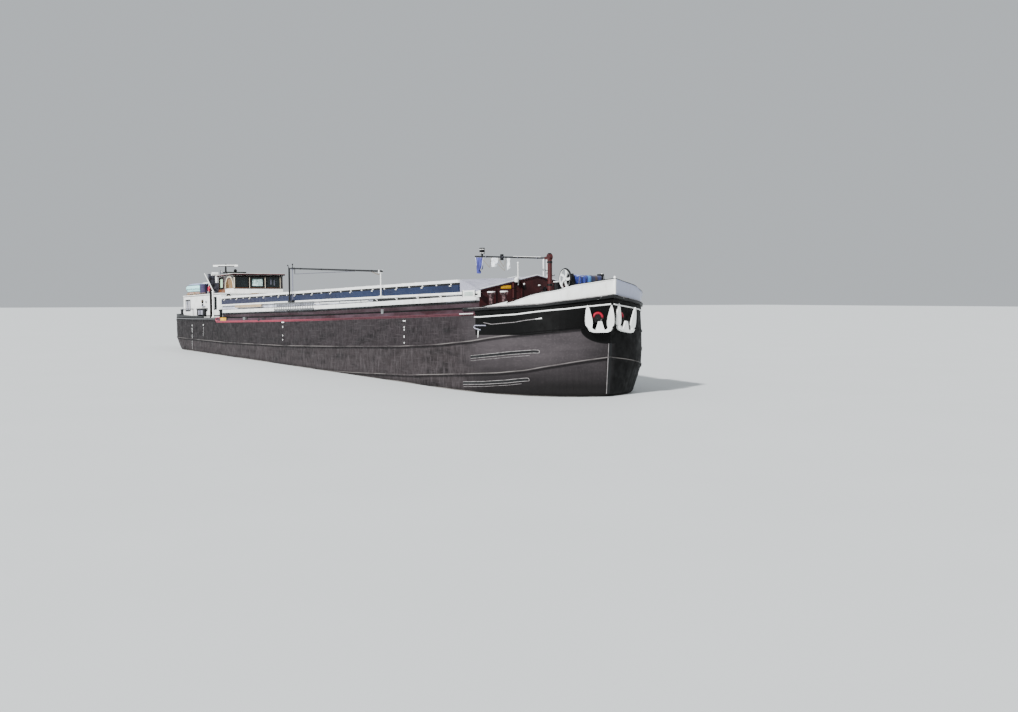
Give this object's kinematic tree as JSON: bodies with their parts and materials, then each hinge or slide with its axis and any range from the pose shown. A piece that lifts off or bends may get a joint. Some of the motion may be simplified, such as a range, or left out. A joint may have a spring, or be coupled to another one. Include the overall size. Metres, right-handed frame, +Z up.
{
  "type": "river barge",
  "caption": "Unladen inland motor barge with a bluff white bow, long covered hold, coamings, aft deckhouse and wheelhouse, anchors and a lowered mast.",
  "frame": {"origin": "middle of the flat bottom, halfway along and across the hull", "axes": "+X to the bow, +Y to port, +Z up; the bottom plane is z = 0"},
  "size_m": [38.521, 5.0638, 5.185],
  "materials": {
    "hull_paint": "weathered matte bitumen paint",
    "black_paint": "satin black paint",
    "white_paint": "satin white paint",
    "maroon_paint": "faded maroon paint",
    "blue_paint": "satin blue paint with white edge",
    "grey_paint": "light grey paint",
    "brown_paint": "red-brown paint",
    "dark_paint": "black paint",
    "engine_paint": "green machinery paint",
    "varnish": "varnished hardwood",
    "wood": "plain boards",
    "bronze": "cast bronze",
    "glass": "clear pane",
    "cover_fabric": "pale blue tarpaulin"
  },
  "bodies": {
    "hull": {"hull_fore": "hull_paint", "hull_middle": "hull_paint", "hull_aft": "hull_paint", "side_deck_starboard": "hull_paint", "side_deck_port": "hull_paint", "bulwark_fore": "white_paint", "rub_rail_fore": "black_paint", "bulwark_stern": "black_paint", "coaming_starboard": "maroon_paint", "coaming_port": "maroon_paint", "coaming_fore": "maroon_paint", "coaming_aft": "maroon_paint", "hatch_apron": "grey_paint", "deckhouse": "white_paint", "deckhouse_roof": "white_paint", "wheelhouse_floor": "wood", "wheelhouse": "varnish", "wheelhouse_roof": "white_paint", "glass_front": "glass", "glass_aft": "glass", "glass_starboard": "glass", "glass_port": "glass", "helm_console": "varnish", "engine": "engine_paint", "fore_mast": "brown_paint", "windlass": "dark_paint", "bollards_fore_starboard": "dark_paint", "bollards_fore_port": "dark_paint", "bollards_stern_starboard": "dark_paint", "bollards_stern_port": "dark_paint", "mast_frame": "dark_paint", "mast_rest": "white_paint", "tender": "white_paint", "tender_cover": "cover_fabric", "vent_stack": "dark_paint", "vent_cowl": "white_paint", "radar_platform": "dark_paint"},
    "hatch_1_body": {"hatch_1": "blue_paint"},
    "hatch_2_body": {"hatch_2": "blue_paint"},
    "hatch_3_body": {"hatch_3": "blue_paint"},
    "hatch_4_body": {"hatch_4": "blue_paint"},
    "hatch_5_body": {"hatch_5": "blue_paint"},
    "cabin_door_body": {"cabin_door": "varnish"},
    "wheelhouse_door_starboard_body": {"wheelhouse_door_starboard": "varnish"},
    "wheelhouse_door_port_body": {"wheelhouse_door_port": "varnish"},
    "steering_wheel_body": {"steering_wheel": "wood"},
    "propeller_body": {"propeller": "bronze"},
    "rudder_body": {"rudder": "dark_paint"},
    "signal_mast_body": {"signal_mast": "dark_paint"},
    "flywheel_body": {"flywheel": "white_paint"},
    "anchor_starboard_body": {"anchor_starboard": "white_paint"},
    "anchor_port_body": {"anchor_port": "white_paint"},
    "lowered_mast_body": {"lowered_mast": "dark_paint"},
    "radar_scanner_body": {"radar_scanner": "white_paint"}
  },
  "joints": [
    {"name": "hatch_1_lift", "type": "slide", "parent": "hull", "child": "hatch_1_body", "axis": [0, 0, 1], "range_m": [0, 0.3]},
    {"name": "hatch_2_lift", "type": "slide", "parent": "hull", "child": "hatch_2_body", "axis": [0, 0, 1], "range_m": [0, 0.3]},
    {"name": "hatch_3_lift", "type": "slide", "parent": "hull", "child": "hatch_3_body", "axis": [0, 0, 1], "range_m": [0, 0.3]},
    {"name": "hatch_4_lift", "type": "slide", "parent": "hull", "child": "hatch_4_body", "axis": [0, 0, 1], "range_m": [0, 0.3]},
    {"name": "hatch_5_lift", "type": "slide", "parent": "hull", "child": "hatch_5_body", "axis": [0, 0, 1], "range_m": [0, 0.3]},
    {"name": "cabin_door_hinge", "type": "hinge", "parent": "hull", "child": "cabin_door_body", "pos_m": [-17.7, 0.3396, 3.16], "axis": [0, 0, -1], "range_deg": [0, 110]},
    {"name": "wheelhouse_door_starboard_hinge", "type": "hinge", "parent": "hull", "child": "wheelhouse_door_starboard_body", "pos_m": [-11.1204, -1.245, 4.1], "axis": [0, 0, 1], "range_deg": [0, 100]},
    {"name": "wheelhouse_door_port_hinge", "type": "hinge", "parent": "hull", "child": "wheelhouse_door_port_body", "pos_m": [-11.1204, 1.245, 4.1], "axis": [0, 0, -1], "range_deg": [0, 100]},
    {"name": "steering_wheel_turn", "type": "hinge", "parent": "hull", "child": "steering_wheel_body", "pos_m": [-11.56, 0, 3.48], "axis": [1, 0, 0], "continuous": true},
    {"name": "propeller_spin", "type": "hinge", "parent": "hull", "child": "propeller_body", "pos_m": [-18.22, 0, 0.54], "axis": [1, 0, 0], "continuous": true},
    {"name": "rudder_turn", "type": "hinge", "parent": "hull", "child": "rudder_body", "pos_m": [-18.64, 0, 1.9], "axis": [0, 0, 1], "range_deg": [-35, 35]},
    {"name": "signal_mast_raise", "type": "hinge", "parent": "hull", "child": "signal_mast_body", "pos_m": [15.84, 0, 4.115], "axis": [0, 1, 0], "range_deg": [0, 85]},
    {"name": "windlass_flywheel_turn", "type": "hinge", "parent": "hull", "child": "flywheel_body", "pos_m": [17.845, -0.67, 3.43], "axis": [0, 1, 0], "continuous": true},
    {"name": "anchor_starboard_drop", "type": "slide", "parent": "hull", "child": "anchor_starboard_body", "axis": [0, 0, -1], "range_m": [0, 1]},
    {"name": "anchor_port_drop", "type": "slide", "parent": "hull", "child": "anchor_port_body", "axis": [0, 0, -1], "range_m": [0, 1]},
    {"name": "lowered_mast_raise", "type": "hinge", "parent": "hull", "child": "lowered_mast_body", "pos_m": [0.04, -2.112, 4.45], "axis": [0, -1, 0], "range_deg": [0, 83]},
    {"name": "radar_spin", "type": "hinge", "parent": "hull", "child": "radar_scanner_body", "pos_m": [-12.8, -1.06, 5.1], "axis": [0, 0, 1], "continuous": true}
  ]
}
